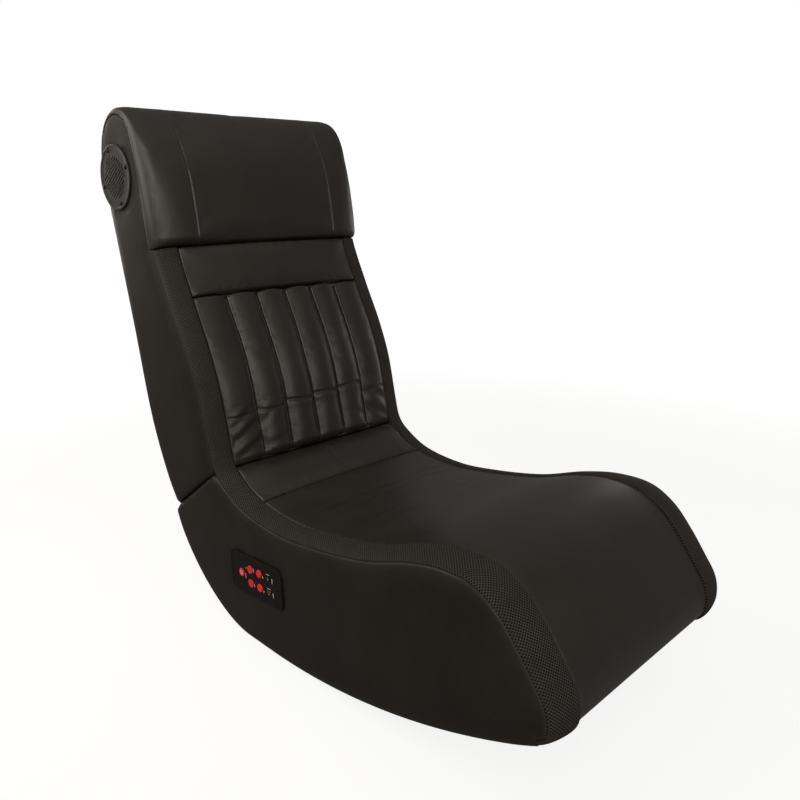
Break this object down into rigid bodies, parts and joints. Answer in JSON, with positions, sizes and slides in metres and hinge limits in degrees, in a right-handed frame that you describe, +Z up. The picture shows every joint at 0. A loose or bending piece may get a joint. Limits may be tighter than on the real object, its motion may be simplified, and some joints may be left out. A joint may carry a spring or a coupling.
{
  "type": "gaming rocker chair",
  "caption": "Legless floor rocker chair with a curved padded seat, a fold-down channelled backrest, a headrest with round side speakers, and a side panel with buttons and sockets.",
  "frame": {"origin": "on the floor, under the middle of the bounding box", "axes": "+Z up; the sitter faces -Y; the sitter's right side, with the control panel, is -X"},
  "size_m": [0.4404, 0.9478, 0.8247],
  "materials": {
    "pad_leatherette": "black leatherette, satin",
    "cover_leatherette": "black leatherette, satin",
    "mesh_fabric": "black spacer mesh, dull",
    "plywood": "bare plywood",
    "hinge_steel": "plain steel",
    "grille_plastic": "black moulded plastic",
    "driver_steel": "dark pressed steel",
    "cone_paper": "black pressed paper",
    "screw_steel": "blackened steel",
    "panel_plastic": "black moulded plastic",
    "circuit_board": "green laminate",
    "socket_metal": "dark plated metal",
    "button_plastic": "red moulded plastic",
    "lead_rubber": "black insulation"
  },
  "bodies": {
    "seat": {"seat_cushion": "pad_leatherette", "seat_rear_pad": "pad_leatherette", "seat_bottom_cover": "cover_leatherette", "seat_side_cover_left": "cover_leatherette", "seat_side_cover_right": "cover_leatherette", "seat_mesh_band_left": "mesh_fabric", "seat_mesh_band_right": "mesh_fabric", "seat_deck": "plywood", "seat_side_frame_left": "plywood", "seat_side_frame_right": "plywood", "seat_front_rail": "plywood", "seat_middle_rail": "plywood", "seat_rear_rail": "plywood", "hinge_seat_arm_left": "hinge_steel", "hinge_seat_arm_right": "hinge_steel", "hinge_pin_left": "hinge_steel", "hinge_pin_right": "hinge_steel", "control_faceplate": "panel_plastic", "control_housing": "panel_plastic", "control_board": "circuit_board", "audio_socket": "socket_metal", "power_socket": "socket_metal", "seat_speaker_lead": "lead_rubber"},
    "backrest": {"back_channel_pad": "pad_leatherette", "back_upper_pad": "pad_leatherette", "headrest_pad": "pad_leatherette", "rear_cover": "cover_leatherette", "back_side_cover_left": "cover_leatherette", "back_side_cover_right": "cover_leatherette", "back_mesh_band_left": "mesh_fabric", "back_mesh_band_right": "mesh_fabric", "back_deck": "plywood", "back_side_frame_left": "plywood", "back_side_frame_right": "plywood", "back_middle_rail": "plywood", "back_top_rail": "plywood", "back_bottom_rail": "plywood", "hinge_back_arm_left": "hinge_steel", "hinge_back_arm_right": "hinge_steel", "speaker_grille_left": "grille_plastic", "speaker_grille_right": "grille_plastic", "speaker_driver_left": "driver_steel", "speaker_driver_right": "driver_steel", "grille_screw_left_1": "screw_steel", "grille_screw_left_2": "screw_steel", "grille_screw_left_3": "screw_steel", "grille_screw_left_4": "screw_steel", "grille_screw_right_1": "screw_steel", "grille_screw_right_2": "screw_steel", "grille_screw_right_3": "screw_steel", "grille_screw_right_4": "screw_steel", "back_speaker_lead": "lead_rubber", "speaker_link_lead": "lead_rubber"},
    "power_key": {"power_button": "button_plastic"},
    "volume_up_key": {"volume_up_button": "button_plastic"},
    "volume_down_key": {"volume_down_button": "button_plastic"},
    "bass_up_key": {"bass_up_button": "button_plastic"},
    "bass_down_key": {"bass_down_button": "button_plastic"},
    "cone_left": {"speaker_cone_left": "cone_paper"},
    "cone_right": {"speaker_cone_right": "cone_paper"}
  },
  "joints": [
    {"name": "backrest_fold", "type": "hinge", "parent": "seat", "child": "backrest", "pos_m": [0, 0.18933, 0.25402], "axis": [1, 0, 0], "range_deg": [0, 95]},
    {"name": "power_press", "type": "slide", "parent": "seat", "child": "power_key", "axis": [1, 0, 0], "range_m": [0, 0.0008], "stiffness_N_per_m": 600, "springref_m": -0.0005},
    {"name": "volume_up_press", "type": "slide", "parent": "seat", "child": "volume_up_key", "axis": [1, 0, 0], "range_m": [0, 0.0008], "stiffness_N_per_m": 600, "springref_m": -0.0005},
    {"name": "volume_down_press", "type": "slide", "parent": "seat", "child": "volume_down_key", "axis": [1, 0, 0], "range_m": [0, 0.0008], "stiffness_N_per_m": 600, "springref_m": -0.0005},
    {"name": "bass_up_press", "type": "slide", "parent": "seat", "child": "bass_up_key", "axis": [1, 0, 0], "range_m": [0, 0.0008], "stiffness_N_per_m": 600, "springref_m": -0.0005},
    {"name": "bass_down_press", "type": "slide", "parent": "seat", "child": "bass_down_key", "axis": [1, 0, 0], "range_m": [0, 0.0008], "stiffness_N_per_m": 600, "springref_m": -0.0005},
    {"name": "cone_travel_left", "type": "slide", "parent": "backrest", "child": "cone_left", "axis": [1, 0, 0], "range_m": [-0.0015, 0.0015], "stiffness_N_per_m": 1000},
    {"name": "cone_travel_right", "type": "slide", "parent": "backrest", "child": "cone_right", "axis": [-1, 0, 0], "range_m": [-0.0015, 0.0015], "stiffness_N_per_m": 1000}
  ]
}
